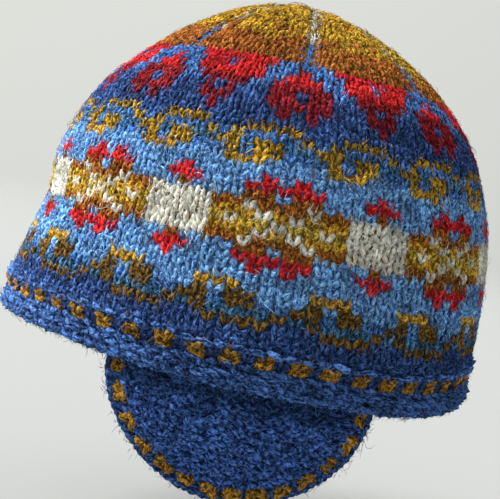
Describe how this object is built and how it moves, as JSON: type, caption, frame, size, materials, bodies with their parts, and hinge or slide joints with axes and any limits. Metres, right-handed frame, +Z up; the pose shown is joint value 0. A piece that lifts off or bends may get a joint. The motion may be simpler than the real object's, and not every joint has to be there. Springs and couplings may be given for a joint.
{
  "type": "knitted baby bonnet with ear flaps",
  "caption": "Domed stranded-knit wool baby hat with a ridged rim band and rounded ear flaps that hang from inside the rim.",
  "frame": {"origin": "centre of the head opening at rim level", "axes": "+Z up towards the crown, +X towards the wearer's face, ear flaps at -Y and +Y"},
  "size_m": [0.1339, 0.1338, 0.1315],
  "materials": {
    "wool_sky": "knitted wool",
    "wool_teal": "knitted wool",
    "wool_royal": "knitted wool",
    "wool_gold": "knitted wool",
    "wool_rust": "knitted wool",
    "wool_red": "knitted wool",
    "wool_cream": "knitted wool"
  },
  "bodies": {
    "root": {"cap": "wool_sky", "brim_band": "wool_royal", "ear_flap_left": "wool_royal", "ear_flap_right": "wool_royal", "flap_edging_left": "wool_royal", "flap_edging_right": "wool_royal"}
  },
  "joints": []
}
